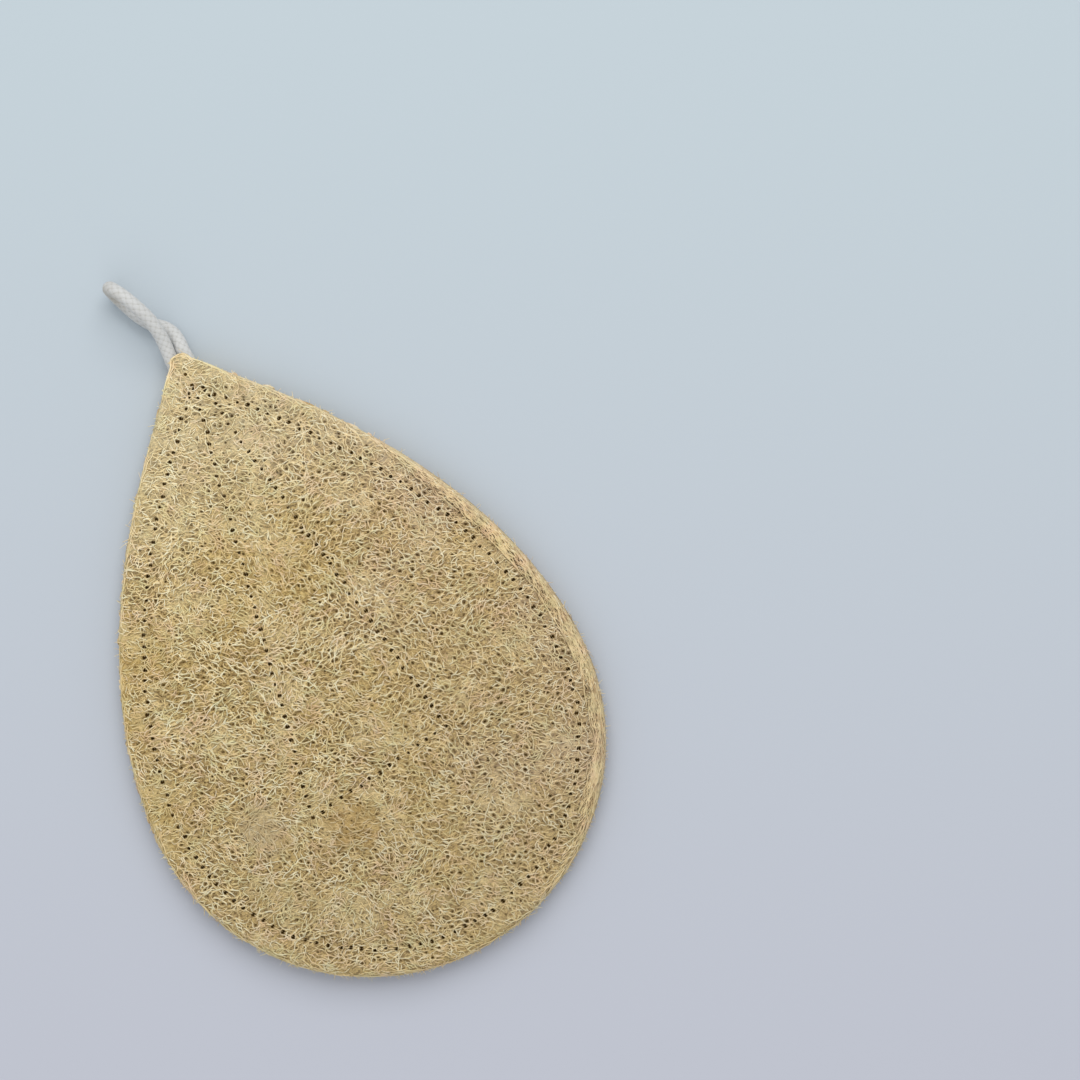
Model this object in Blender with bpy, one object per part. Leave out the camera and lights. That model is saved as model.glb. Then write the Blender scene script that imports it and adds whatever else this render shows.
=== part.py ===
"""Loofah scrubbing pad: two drop-shaped layers of flattened loofah, sewn together round the rim and
along a narrow triangle of inner rows, with a cotton hanging loop whose ends are held at the tip.

Units are metres. The pad lies on Z = 0 with the fine face up and the coarse face down. Its tip
points along +Y. Sizes below are in millimetres and are scaled by MM where a mesh is made."""

import math
import random

import bmesh
import bpy
import numpy as np
from mathutils import Vector
from mathutils.geometry import delaunay_2d_cdt

MM = 0.001

# Outline of the pad, seen from above
PAD_LENGTH = 150.0
PAD_WIDTH = 105.0
SIDE_POWER = 1.92
TIP_FLAT = 3.8
HALF = PAD_WIDTH / 2
ROUND_START = PAD_LENGTH - HALF
UPPER_COUNT = 31
LOWER_COUNT = 23

# Thickness of each layer, from its inner face to the tops of its ridges
MID_HEIGHT = 4.0
LAYER_GAP = 0.3
LAYER_MIDDLE = 3.85
LAYER_RIM = 2.7
RIM_WALL = 1.1
TIP_WALL = 2.5
SHOULDER = 1.3
CROWN_START = 6.0
CROWN_END = 17.0
WAVE_HEIGHT = 0.12
WAVE_ACROSS = 8.5
WAVE_ALONG = 11.0

# Sewn rows and the thread that lies in them
SEAM_INSET = 5.7
SEAM_STATION = 5.2
GROOVE_HALF = 1.0
GROOVE_DEPTH = 1.0
THREAD_RADIUS = 0.25
THREAD_LIFT = 0.8
INNER_ROW_CORNERS = ((-1.2, 59.8), (-19.3, -32.4), (16.5, -27.5), (3.0, 59.3))

# What a point of the net may become
FIXED, RIDGE, PIT = 0, 1, 2

# Flat spots that the pad rests on, all at one level: one under its weight and three small ones
# round it, each with its centre, radius and number of sides
REST_SPOTS = (
    ((0.0, -9.0), 7.5, 20),
    ((0.3, 36.0), 2.4, 8),
    ((-29.0, -36.0), 2.4, 8),
    ((29.0, -36.0), 2.4, 8),
)

# Hanging loop and the pocket that holds its ends
CORD_DIAMETER = 3.2
CORD_STEP = 1.9
POCKET_WIDTH = 7.5
POCKET_HEIGHT = 3.8
POCKET_END = 68.2
POCKET_MOUTH = 79.0
POCKET_ROUND = 1.5
LOOP_ROUTE = (
    (-1.75, 68.8, 4.0),
    (-1.75, 71.5, 4.0),
    (-1.75, 74.2, 4.0),
    (-1.55, 76.9, 4.4),
    (-1.35, 79.6, 5.4),
    (-1.45, 82.3, 6.9),
    (-2.05, 85.3, 8.4),
    (-3.15, 88.3, 9.6),
    (-4.50, 91.4, 9.9),
    (-5.85, 94.0, 8.8),
    (-6.75, 95.5, 6.6),
    (-6.95, 95.6, 4.1),
    (-6.45, 94.0, 2.2),
    (-5.50, 91.4, 1.65),
    (-4.40, 88.6, 1.65),
    (-3.00, 86.1, 1.65),
    (-1.60, 84.3, 1.65),
    (0.05, 82.8, 1.7),
    (1.20, 80.8, 1.95),
    (1.65, 78.3, 2.8),
    (1.60, 75.8, 3.6),
    (1.70, 73.4, 4.0),
    (1.75, 71.0, 4.0),
    (1.75, 68.8, 4.0),
)

# Net of raised fibres on each face: point spacing, stretch across the pad, depth of the pits, and
# how much of the way from a pit's middle to its ridges is floor
FRONT_NET = {"spacing": 3.0, "stretch": 1.08, "pit": 1.3, "floor": 54, "seed": 11}
BACK_NET = {"spacing": 3.7, "stretch": 1.04, "pit": 1.6, "floor": 58, "seed": 29}
RIDGE_DIP = 0.4
JITTER = 0.22
DRIFT_X = {"by": 0.8, "over": 6.1}
DRIFT_Y = {"by": 1.1, "over": 9.3}
MERGE = 1e-5
LIP_MIDDLE = 3.0
LIP_PIT_SHARE = 0.7

MATERIALS = {
    "fine_fibre": ((0.52, 0.40, 0.20), 0.85),
    "coarse_fibre": ((0.56, 0.42, 0.25), 0.8),
    "sewing_thread": ((0.50, 0.38, 0.20), 0.7),
    "cotton_cord": ((0.78, 0.77, 0.73), 0.9),
}


def clear_scene():
    for thing in list(bpy.data.objects):
        bpy.data.objects.remove(thing, do_unlink=True)


def new_collection(name):
    made = bpy.data.collections.new(name)
    bpy.context.scene.collection.children.link(made)
    return made


def material(name):
    colour, roughness = MATERIALS[name]
    made = bpy.data.materials.new(name)
    made.use_nodes = True
    shader = made.node_tree.nodes["Principled BSDF"]
    shader.inputs["Base Color"].default_value = (*colour, 1.0)
    shader.inputs["Roughness"].default_value = roughness
    shader.inputs["Metallic"].default_value = 0.0
    return made


def half_width(from_tip):
    """Half the pad's width at this distance from the tip: a swelling side, then a half circle."""
    if from_tip < ROUND_START:
        return HALF * (1 - (1 - from_tip / ROUND_START) ** SIDE_POWER)
    return math.sqrt(max(HALF**2 - (from_tip - ROUND_START) ** 2, 0.0))


def right_side(count=600):
    """Points down the pad's right side, from the end of the blunt tip to the middle of the base."""
    first = ROUND_START * (1 - (1 - TIP_FLAT / PAD_WIDTH) ** (1 / SIDE_POWER))
    places = [(TIP_FLAT / 2, PAD_LENGTH / 2)]
    for k in range(count):
        from_tip = first + (ROUND_START - first) * k / count
        places.append((half_width(from_tip), PAD_LENGTH / 2 - from_tip))
    for k in range(count + 1):
        angle = math.pi / 2 * k / count
        places.append((HALF * math.cos(angle), -PAD_LENGTH / 2 + HALF * (1 - math.sin(angle))))
    return np.array(places)


def spaced(line, count):
    """Count points at equal distances along a line, both of its ends among them."""
    steps = np.hypot(*np.diff(line, axis=0).T)
    along = np.concatenate([[0.0], np.cumsum(steps)])
    wanted = np.linspace(0.0, along[-1], count)
    return np.stack([np.interp(wanted, along, line[:, axis]) for axis in (0, 1)], axis=1)


def both_sides(right):
    """A closed loop from its right half, which runs from the top of the loop to its base."""
    left = right[::-1] * (-1, 1)
    if abs(right[0, 0]) < 1e-6:
        return np.concatenate([right, left[1:-1]])
    return np.concatenate([right, left[1:]])


def outline_loop():
    """The pad's edge, with a point at each extreme, so that its box is exact."""
    side = right_side()
    widest = int(np.argmax(side[:, 0]))
    upper = spaced(side[: widest + 1], UPPER_COUNT)
    lower = spaced(side[widest:], LOWER_COUNT)
    return both_sides(np.concatenate([upper, lower[1:]]))


def seam_loop(inset):
    """The row that runs round the pad at this distance inside its edge, apex first."""
    side = right_side()
    along = np.gradient(side, axis=0)
    along /= np.hypot(*along.T)[:, None]
    inner = side + np.stack([along[:, 1], -along[:, 0]], axis=1) * inset
    inner = inner[inner[:, 0] > 0]
    rise = (inner[0, 1] - inner[1, 1]) / (inner[1, 0] - inner[0, 0])
    apex = (0.0, inner[0, 1] + inner[0, 0] * rise)
    base = (0.0, -PAD_LENGTH / 2 + inset)
    half = np.concatenate([[apex], inner, [base]])
    length = np.hypot(*np.diff(half, axis=0).T).sum()
    return both_sides(spaced(half, round(length / SEAM_STATION) + 1))


def inner_rows():
    """The closed narrow triangle of rows inside the pad, clipped short at its top."""
    corners = [np.array(c) for c in INNER_ROW_CORNERS]
    places = []
    for start, end in zip(corners, corners[1:] + corners[:1]):
        count = max(round(np.hypot(*(end - start)) / SEAM_STATION), 1)
        places += [start + (end - start) * k / count for k in range(count)]
    return np.array(places)


def beside(loop, distance):
    """A closed loop moved sideways by this distance, mitred at its corners."""
    ahead = np.roll(loop, -1, axis=0) - loop
    ahead /= np.hypot(*ahead.T)[:, None]
    across = np.stack([ahead[:, 1], -ahead[:, 0]], axis=1)
    middle = across + np.roll(across, 1, axis=0)
    middle /= np.hypot(*middle.T)[:, None]
    return loop + middle * (distance / (middle * across).sum(axis=1))[:, None]


def distance_to(loop, places):
    """How far each place lies from a closed loop."""
    starts = loop[None, :, :]
    spans = (np.roll(loop, -1, axis=0) - loop)[None, :, :]
    offsets = places[:, None, :] - starts
    share = np.clip((offsets * spans).sum(2) / (spans**2).sum(2), 0.0, 1.0)
    return np.hypot(*np.moveaxis(offsets - share[:, :, None] * spans, 2, 0)).min(axis=1)


def inside(loop, places):
    """Whether each place lies inside a closed loop."""
    ends = np.roll(loop, -1, axis=0)
    x, y = places[:, 0, None], places[:, 1, None]
    crosses = (loop[None, :, 1] > y) != (ends[None, :, 1] > y)
    rise = ends[:, 1] - loop[:, 1]
    rise = np.where(np.abs(rise) < 1e-12, 1e-12, rise)
    at = loop[:, 0] + (y - loop[:, 1]) * (ends[:, 0] - loop[:, 0]) / rise
    return (crosses & (x < at)).sum(axis=1) % 2 == 1


EDGE = outline_loop()
SEAMS = (seam_loop(SEAM_INSET), inner_rows())


def thickness(places):
    """Height of the ridge tops over the layer's inner face: a lip at the rim, then a low crown."""
    share = np.clip((distance_to(EDGE, places) - CROWN_START) / (CROWN_END - CROWN_START), 0, 1)
    share = share * share * (3 - 2 * share)
    wave = np.sin(places[:, 0] / WAVE_ACROSS) * np.cos(places[:, 1] / WAVE_ALONG) - 1.0
    return LAYER_RIM + (LAYER_MIDDLE - LAYER_RIM) * share + WAVE_HEIGHT * share * wave


def net_points(net, rest_spots):
    """Places of the net's points on a warped lattice, and what each is meant to be: every third one
    is a pit, with six ridge points round it."""
    draw = random.Random(net["seed"])
    spacing = net["spacing"]
    wide, high = spacing * net["stretch"], spacing * math.sqrt(0.75) / net["stretch"]
    rows = int(PAD_LENGTH / high / 2) + 2
    columns = int(PAD_WIDTH / wide / 2) + 2
    places, roles = [], []
    for j in range(-rows, rows + 1):
        for i in range(-columns, columns + 1):
            x = (i + 0.5 * (j % 2)) * wide
            y = j * high
            x += DRIFT_X["by"] * math.sin(y / DRIFT_X["over"])
            y += DRIFT_Y["by"] * math.sin(x / DRIFT_Y["over"])
            x += draw.uniform(-JITTER, JITTER) * spacing
            y += draw.uniform(-JITTER, JITTER) * spacing
            places.append((x, y))
            roles.append(PIT if (i - j // 2 - j) % 3 == 0 else RIDGE)
    places, roles = np.array(places), np.array(roles)
    keep = inside(EDGE, places) & (distance_to(EDGE, places) > SHOULDER + 0.55 * spacing)
    for seam in SEAMS:
        keep &= distance_to(seam, places) > GROOVE_HALF + 0.5 * spacing
    for centre, radius, _ in rest_spots:
        keep &= np.hypot(*(places - centre).T) > radius + 0.6 * spacing
    return places[keep], roles[keep], draw


def ring(centre, radius, sides):
    turns = np.arange(sides) * 2 * math.pi / sides
    return np.stack([np.cos(turns), np.sin(turns)], axis=1) * radius + centre


def relief(net, rest_spots):
    """Places, ridge heights, roles and fixed lines of one netted face."""
    places, roles, draw = net_points(net, rest_spots)
    all_places, all_heights, all_roles, lines = [], [], [], []

    def add(more, heights, role=FIXED, joined=True):
        start = sum(map(len, all_places))
        count = len(more)
        if joined:
            lines.extend((start + k, start + (k + 1) % count) for k in range(count))
        all_places.append(more)
        all_heights.append(heights)
        all_roles.append(np.full(count, role))

    def ridge_tops(more):
        return thickness(more) - RIDGE_DIP * np.array([draw.random() for _ in more])

    add(places, ridge_tops(places), roles, joined=False)
    add(EDGE, np.where(EDGE[:, 1] > POCKET_END, TIP_WALL, RIM_WALL))
    shoulder = beside(EDGE, SHOULDER)
    add(shoulder, ridge_tops(shoulder))
    rim_row = SEAMS[0]
    lip = beside(rim_row, LIP_MIDDLE - SEAM_INSET)[1:]
    between = (lip[1:] + lip[:-1]) / 2
    add(lip, ridge_tops(lip), joined=False)
    add(between, ridge_tops(between), PIT, joined=False)
    for seam in SEAMS:
        level = thickness(seam)
        add(seam, level - GROOVE_DEPTH)
        add(beside(seam, GROOVE_HALF), level)
        add(beside(seam, -GROOVE_HALF), level)
    for centre, radius, sides in rest_spots:
        add(ring(centre, radius, sides), np.full(sides, LAYER_MIDDLE))
    joined = [np.concatenate(group) for group in (all_places, all_heights, all_roles)]
    return *joined, lines


def choose_pits(verts, roles):
    """The points that open into pits, no two of them joined: the net's own first, and then a ridge
    point wherever none of its neighbours is a pit."""
    chosen = set()
    pits = []
    for role in (PIT, RIDGE):
        for vert in (v for v, r in zip(verts, roles) if r == role):
            if not any(e.other_vert(vert).index in chosen for e in vert.link_edges):
                chosen.add(vert.index)
                pits.append(vert)
    return pits


def sink_pits(bm, pits, net, inner, facing):
    """Opens each pit: its corners spread out to a floor, which is lowered."""
    made = bmesh.ops.bevel(
        bm,
        geom=pits,
        offset=net["floor"],
        offset_type="PERCENT",
        segments=1,
        profile=0.5,
        affect="VERTICES",
        material=-1,
    )
    floors = [v for v in made["verts"] if v.is_valid]
    places = np.array([v.co.xy for v in floors]) / MM
    on_lip = np.clip((distance_to(EDGE, places) - CROWN_START) / CROWN_START, 0, 1)
    depths = net["pit"] * (LIP_PIT_SHARE + (1 - LIP_PIT_SHARE) * on_lip)
    for vert, level in zip(floors, thickness(places) - depths):
        vert.co.z = (inner + facing * level) * MM


def layer_mesh(name, net, facing, rest_spots=()):
    """One layer: a netted face, a rim wall, and a flat face towards the other layer. Facing is 1
    for the layer whose net looks up and -1 for the one whose net looks down."""
    places, heights, roles, lines = relief(net, rest_spots)
    flat = [Vector(p) for p in places.tolist()]
    points, _, faces, sources, _, _ = delaunay_2d_cdt(flat, lines, [], 1, MERGE)
    inner = MID_HEIGHT + facing * LAYER_GAP / 2
    bm = bmesh.new()
    for point, source in zip(points, sources):
        height = inner + facing * heights[source[0]]
        bm.verts.new((point.x * MM, point.y * MM, height * MM))
    bm.verts.ensure_lookup_table()
    bm.verts.index_update()
    for face in faces:
        bm.faces.new([bm.verts[k] for k in face])
    pits = choose_pits(list(bm.verts), [roles[source[0]] for source in sources])
    sink_pits(bm, pits, net, inner, facing)
    edge = [e for e in bm.edges if e.is_boundary]
    walls = bmesh.ops.extrude_edge_only(bm, edges=edge)["geom"]
    for vert in (v for v in walls if isinstance(v, bmesh.types.BMVert)):
        vert.co.z = inner * MM
    bmesh.ops.holes_fill(bm, edges=[e for e in bm.edges if e.is_boundary], sides=0)
    bmesh.ops.recalc_face_normals(bm, faces=bm.faces)
    mesh = bpy.data.meshes.new(name)
    bm.to_mesh(mesh)
    bm.free()
    return mesh


def add_mesh(name, mesh, slot, collection):
    made = bpy.data.objects.new(name, mesh)
    if slot:
        mesh.materials.append(material(slot))
    collection.objects.link(made)
    return made


def pocket_cutter(collection):
    """A flat-sided tunnel with rounded long edges, from the stitches behind the tip to the open."""
    bm = bmesh.new()
    length = POCKET_MOUTH - POCKET_END
    bmesh.ops.create_cube(bm, size=1.0)
    bmesh.ops.scale(bm, vec=(POCKET_WIDTH * MM, length * MM, POCKET_HEIGHT * MM), verts=bm.verts)
    middle = (0, (POCKET_END + length / 2) * MM, MID_HEIGHT * MM)
    bmesh.ops.translate(bm, vec=middle, verts=bm.verts)
    long_edges = [e for e in bm.edges if abs(e.verts[0].co.y - e.verts[1].co.y) > length * MM / 2]
    bmesh.ops.bevel(
        bm,
        geom=long_edges,
        offset=POCKET_ROUND * MM,
        segments=3,
        profile=0.5,
        affect="EDGES",
        material=-1,
    )
    mesh = bpy.data.meshes.new("pocket_cutter")
    bm.to_mesh(mesh)
    bm.free()
    cutter = add_mesh("pocket_cutter", mesh, None, collection)
    cutter.hide_render = True
    cutter.display_type = "WIRE"
    return cutter


def cut_pocket(layer, cutter):
    cut = layer.modifiers.new("Pocket", "BOOLEAN")
    cut.operation = "DIFFERENCE"
    cut.solver = "EXACT"
    cut.object = cutter


def tube(name, places, radius, slot, collection, closed=False, resolution=0):
    """A round tube along these places, in millimetres."""
    curve = bpy.data.curves.new(name, "CURVE")
    curve.dimensions = "3D"
    curve.bevel_depth = radius * MM
    curve.bevel_resolution = resolution
    curve.use_fill_caps = not closed
    spline = curve.splines.new("POLY")
    spline.points.add(len(places) - 1)
    for point, place in zip(spline.points, places):
        point.co = (*(float(c) * MM for c in place), 1.0)
    spline.use_cyclic_u = closed
    spline.use_smooth = True
    curve.materials.append(material(slot))
    made = bpy.data.objects.new(name, curve)
    collection.objects.link(made)
    return made


def thread(name, seam, facing, collection):
    """Sewing thread that lies in the groove of one row, on one face of the pad."""
    floor = MID_HEIGHT + facing * (LAYER_GAP / 2 + thickness(seam) - GROOVE_DEPTH)
    heights = floor + facing * THREAD_LIFT
    places = np.concatenate([seam, heights[:, None]], axis=1)
    return tube(name, places, THREAD_RADIUS, "sewing_thread", collection, closed=True)


def smooth_route(route, step):
    """Points at about this step along a smooth curve through the route's own points."""
    ends = [2 * Vector(route[0]) - Vector(route[1]), 2 * Vector(route[-1]) - Vector(route[-2])]
    knots = [ends[0], *map(Vector, route), ends[1]]
    fine = []
    for a, b, c, d in zip(knots, knots[1:], knots[2:], knots[3:]):
        for k in range(12):
            t = k / 12
            fine.append(
                b
                + (c - a) * (t / 2)
                + (2 * a - 5 * b + 4 * c - d) * (t * t / 2)
                + (3 * b - a - 3 * c + d) * (t**3 / 2)
            )
    fine.append(Vector(route[-1]))
    line = np.array(fine)
    along = np.concatenate([[0.0], np.cumsum(np.linalg.norm(np.diff(line, axis=0), axis=1))])
    wanted = np.linspace(0.0, along[-1], round(along[-1] / step) + 1)
    return np.stack([np.interp(wanted, along, line[:, axis]) for axis in range(3)], axis=1)


def build():
    clear_scene()
    parts = new_collection("loofah_scrubbing_pad")
    cutters = new_collection("cutters")
    cutter = pocket_cutter(cutters)
    front = layer_mesh("front_layer", FRONT_NET, 1)
    back = layer_mesh("back_layer", BACK_NET, -1, REST_SPOTS)
    cut_pocket(add_mesh("front_layer", front, "fine_fibre", parts), cutter)
    cut_pocket(add_mesh("back_layer", back, "coarse_fibre", parts), cutter)
    for row, seam in zip(("rim", "inner"), SEAMS):
        thread(f"{row}_thread_front", seam, 1, parts)
        thread(f"{row}_thread_back", seam, -1, parts)
    route = smooth_route(LOOP_ROUTE, CORD_STEP)
    tube("hang_loop", route, CORD_DIAMETER / 2, "cotton_cord", parts, resolution=2)


build()
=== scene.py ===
"""Loofah scrubbing pad, dressed for its picture: a fine-faced front and a coarse-faced back layer of
matted gourd fibres, needle holes and sewing thread, and a braided cotton hanging loop.

Sizes are in millimetres and are scaled by MM where a mesh is made. The pad lies on Z = 0 with its
tip along +Y, as the solids do."""

import math

import bmesh
import bpy
import numpy as np
from mathutils import Matrix, Vector, kdtree
from mathutils.geometry import delaunay_2d_cdt


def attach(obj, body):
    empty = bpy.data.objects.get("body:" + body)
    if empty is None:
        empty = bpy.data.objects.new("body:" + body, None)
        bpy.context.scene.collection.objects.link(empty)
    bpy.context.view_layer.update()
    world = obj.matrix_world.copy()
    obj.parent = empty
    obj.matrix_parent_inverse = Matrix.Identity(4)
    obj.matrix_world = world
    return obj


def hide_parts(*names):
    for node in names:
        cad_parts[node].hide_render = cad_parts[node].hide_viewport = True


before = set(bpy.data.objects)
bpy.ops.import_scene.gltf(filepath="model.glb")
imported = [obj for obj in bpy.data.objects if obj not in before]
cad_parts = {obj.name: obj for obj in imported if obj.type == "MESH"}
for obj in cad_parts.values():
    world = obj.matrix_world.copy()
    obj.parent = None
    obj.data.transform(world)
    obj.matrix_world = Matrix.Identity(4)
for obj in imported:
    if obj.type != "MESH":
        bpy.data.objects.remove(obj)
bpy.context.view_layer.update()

MM = 0.001

# Outline of the pad, seen from above
PAD_LENGTH = 150.0
PAD_WIDTH = 105.0
SIDE_POWER = 1.92
TIP_FLAT = 3.8
TIP_SHOULDER = 0.5
SHOULDER_START = 2.5
SHOULDER_FADE = 7.0
HALF = PAD_WIDTH / 2
ROUND_START = PAD_LENGTH - HALF

# Cross-section of each layer, measured from its inner face
MID_HEIGHT = 4.0
LAYER_GAP = 0.3
LAYER_MIDDLE = 3.85
LAYER_RIM = 2.7
WALL = 0.5
TIP_WALL = 2.3
TIP_WALL_START = 65.0
TIP_WALL_FADE = 5.0
ROLL = 1.9
CROWN_START = 6.0
CROWN_END = 17.0
THINNEST = 0.15
RIM_MARGIN = 0.18
BED_INSET = 0.22
RIM_RINGS = (0.22, 0.6, 1.1, 1.65)

# Needle holes of the sewn rows
SEAM_INSET = 5.7
HOLE_PITCH = 2.6
THREAD_RADIUS = 0.12
HOLE_SMALL = 0.27
HOLE_LARGE = 0.46
HOLE_STRAY = 0.19
HOLE_DEPTH = 0.85
INNER_ROW_CORNERS = ((-0.9, 61.3), (-19.3, -32.4), (16.5, -27.5), (2.8, 60.9))
TACK_HOLES = ((-0.2, 70.1), (-0.2, 66.5), (-1.4, 65.8), (2.0, 65.7), (-0.1, 64.0), (2.4, 63.5))
SEAM_DIP = 0.45
SEAM_SPREAD = 1.6

# The wide lip on the right side: where it begins and where it is at its full width, across the pad,
# down from the tip and up from the base
LIP_SIDE = (18.0, 32.0)
LIP_TOP = (44.0, 24.0)
LIP_BASE = (-74.0, -52.0)

# Marks that the front shows: a smooth vein, a golden stain and a matted patch, each patch with its
# centre, radius and fading edge
VEIN = ((2.9, 41.6), (-19.1, -17.7))
VEIN_REACH = 2.6
GOLDEN_SPOT = ((-11.7, -37.8, 7.6), 5.5, 3.2)
MATTED_SPOT = ((-30.2, -30.2, 7.2), 5.0, 2.5)
MATTED_CORE = 2.5
MATTED_FADE = 4.0

# Hanging loop: the same route as the solid's
CORD_DIAMETER = 3.2
CORD_ASIDE = 1.75
CORD_ROOM = 1.8
POCKET_START = 65.4
POCKET_FADE = 3.2
CORD_CORE = 0.97
# Painted shade at the loop's bend: centre, radius and fading edge
CORD_BEND_SHADE = ((-6.6, 93.6, 6.5), 3.2, 2.4)
PLAITS = 6
PLAIT_LENGTH = 10.5
PLAIT_RELIEF = 0.10
LOOP_ROUTE = (
    (-1.75, 68.8, 4.0),
    (-1.75, 71.5, 4.0),
    (-1.75, 74.2, 4.0),
    (-1.55, 76.9, 4.4),
    (-1.35, 79.6, 5.4),
    (-1.45, 82.3, 6.9),
    (-2.05, 85.3, 8.4),
    (-3.15, 88.3, 9.6),
    (-4.50, 91.4, 9.9),
    (-5.85, 94.0, 8.8),
    (-6.75, 95.5, 6.6),
    (-6.95, 95.6, 4.1),
    (-6.45, 94.0, 2.2),
    (-5.50, 91.4, 1.65),
    (-4.40, 88.6, 1.65),
    (-3.00, 86.1, 1.65),
    (-1.60, 84.3, 1.65),
    (0.05, 82.8, 1.7),
    (1.20, 80.8, 1.95),
    (1.65, 78.3, 2.8),
    (1.60, 75.8, 3.6),
    (1.70, 73.4, 4.0),
    (1.75, 71.0, 4.0),
    (1.75, 68.8, 4.0),
)


def place_camera():
    """Looks down on the pad from a little below it in the picture, with the tip up and to the left."""
    lean = math.radians(27.0)
    up = Vector((math.sin(lean), math.cos(lean), 0.0))
    elevation = math.radians(85.0)
    distance = 620.0
    field = 245.8
    target = Vector((54.5, 0.6, 0.0))
    back = -up * math.cos(elevation) + Vector((0, 0, 1)) * math.sin(elevation)
    data = bpy.data.cameras.new("camera")
    data.sensor_width = 36.0
    data.lens = data.sensor_width * distance / field
    data.clip_start = 0.05
    data.clip_end = 10.0
    camera = bpy.data.objects.new("camera", data)
    bpy.context.scene.collection.objects.link(camera)
    camera.location = (target + back * distance) * MM
    right = up.cross(back).normalized()
    top = back.cross(right)
    camera.rotation_euler = Matrix((right, top, back)).transposed().to_euler()
    bpy.context.scene.camera = camera


def half_width(from_tip):
    """Half the pad's width at this distance from the tip: a swelling side, then a half circle."""
    if from_tip < ROUND_START:
        return HALF * (1 - (1 - from_tip / ROUND_START) ** SIDE_POWER)
    return math.sqrt(max(HALF**2 - (from_tip - ROUND_START) ** 2, 0.0))


def smooth(share):
    """A share from 0 to 1 with its ends eased."""
    share = np.clip(share, 0.0, 1.0)
    return share * share * (3 - 2 * share)


def right_side(shoulder=0.0, count=600):
    """Points down the pad's right side, from the middle of the tip to the middle of the base. A
    shoulder widens the tip."""
    first = ROUND_START * (1 - (1 - TIP_FLAT / PAD_WIDTH) ** (1 / SIDE_POWER))
    blunt = TIP_FLAT / 2
    places = [
        (0.0, PAD_LENGTH / 2),
        (blunt - 1.0 + shoulder, PAD_LENGTH / 2 - 0.15),
        (blunt + shoulder * 0.6, PAD_LENGTH / 2 - 0.9),
    ]
    for k in range(count):
        from_tip = first + (ROUND_START - first) * k / count
        wider = shoulder * (1 - smooth((from_tip - SHOULDER_START) / SHOULDER_FADE))
        places.append((half_width(from_tip) + wider, PAD_LENGTH / 2 - from_tip))
    for k in range(count + 1):
        angle = math.pi / 2 * k / count
        places.append((HALF * math.cos(angle), -PAD_LENGTH / 2 + HALF * (1 - math.sin(angle))))
    return np.array(places)


def steps_of(line):
    """The lengths of a flat line's stretches."""
    return np.hypot(*np.diff(line, axis=0).T)


def summed(steps):
    """The running total of some steps, from 0."""
    return np.concatenate([[0.0], np.cumsum(steps)])


def walked(line, along, wanted):
    """Places on a line at the wanted distances, where along holds the distance to each point."""
    axes = [np.interp(wanted, along, line[:, axis]) for axis in range(line.shape[1])]
    return np.stack(axes, axis=-1)


def whole_loop(half, step):
    """A closed loop in even steps from its right half, which starts and ends on the middle line."""
    steps = steps_of(half)
    along = summed(steps)
    wanted = np.linspace(0.0, along[-1], round(float(steps.sum()) / step) + 1)
    right = walked(half, along, wanted)
    left = right[::-1] * (-1, 1)
    return np.concatenate([right, left[1:-1]])


def outline_loop(step):
    """The edge of the pad, from the middle of its tip."""
    return whole_loop(right_side(TIP_SHOULDER), step)


def seam_loop(inset, step):
    """The row that runs round the pad at this distance inside its edge, apex first."""
    side = right_side()[3:]
    along = np.gradient(side, axis=0)
    along /= np.hypot(*along.T)[:, None]
    inner = side + np.stack([along[:, 1], -along[:, 0]], axis=1) * inset
    inner = inner[inner[:, 0] > 0]
    rise = (inner[0, 1] - inner[1, 1]) / (inner[1, 0] - inner[0, 0])
    apex = (0.0, inner[0, 1] + inner[0, 0] * rise)
    base = (0.0, -PAD_LENGTH / 2 + inset)
    return whole_loop(np.concatenate([[apex], inner, [base]]), step)


def inner_rows(step):
    """The closed narrow triangle of rows inside the pad, clipped short at its top."""
    corners = [np.array(c) for c in INNER_ROW_CORNERS]
    places = []
    for start, end in zip(corners, corners[1:] + corners[:1]):
        count = max(round(float(np.hypot(*(end - start))) / step), 1)
        places += [start + (end - start) * k / count for k in range(count)]
    return np.array(places)


def distance_to(loop, places):
    """How far each place lies from a closed loop."""
    starts = loop[None, :, :]
    spans = (np.roll(loop, -1, axis=0) - loop)[None, :, :]
    offsets = places[:, None, :] - starts
    share = np.clip((offsets * spans).sum(2) / (spans**2).sum(2), 0.0, 1.0)
    return np.hypot(*np.moveaxis(offsets - share[:, :, None] * spans, 2, 0)).min(axis=1)


def inside(loop, places):
    """Whether each place lies inside a closed loop."""
    ends = np.roll(loop, -1, axis=0)
    x, y = places[:, 0, None], places[:, 1, None]
    crosses = (loop[None, :, 1] > y) != (ends[None, :, 1] > y)
    rise = ends[:, 1] - loop[:, 1]
    rise = np.where(np.abs(rise) < 1e-12, 1e-12, rise)
    at = loop[:, 0] + (y - loop[:, 1]) * (ends[:, 0] - loop[:, 0]) / rise
    return (crosses & (x < at)).sum(axis=1) % 2 == 1


# Charts of the pad: values worked out once at the crossings of a fine grid and read in between
CHART_STEP = 0.5
CHART_REACH = 5.0
CHART_X = np.arange(-HALF - CHART_REACH, HALF + CHART_REACH, CHART_STEP)
CHART_Y = np.arange(-PAD_LENGTH / 2 - CHART_REACH, PAD_LENGTH / 2 + CHART_REACH, CHART_STEP)


def charted(rule):
    """A rule for places, worked out at every crossing of the grid."""
    x, y = np.meshgrid(CHART_X, CHART_Y)
    places = np.stack([x.ravel(), y.ravel()], axis=1)
    values = [rule(part) for part in np.array_split(places, 60)]
    return np.concatenate(values).reshape(x.shape)


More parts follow.
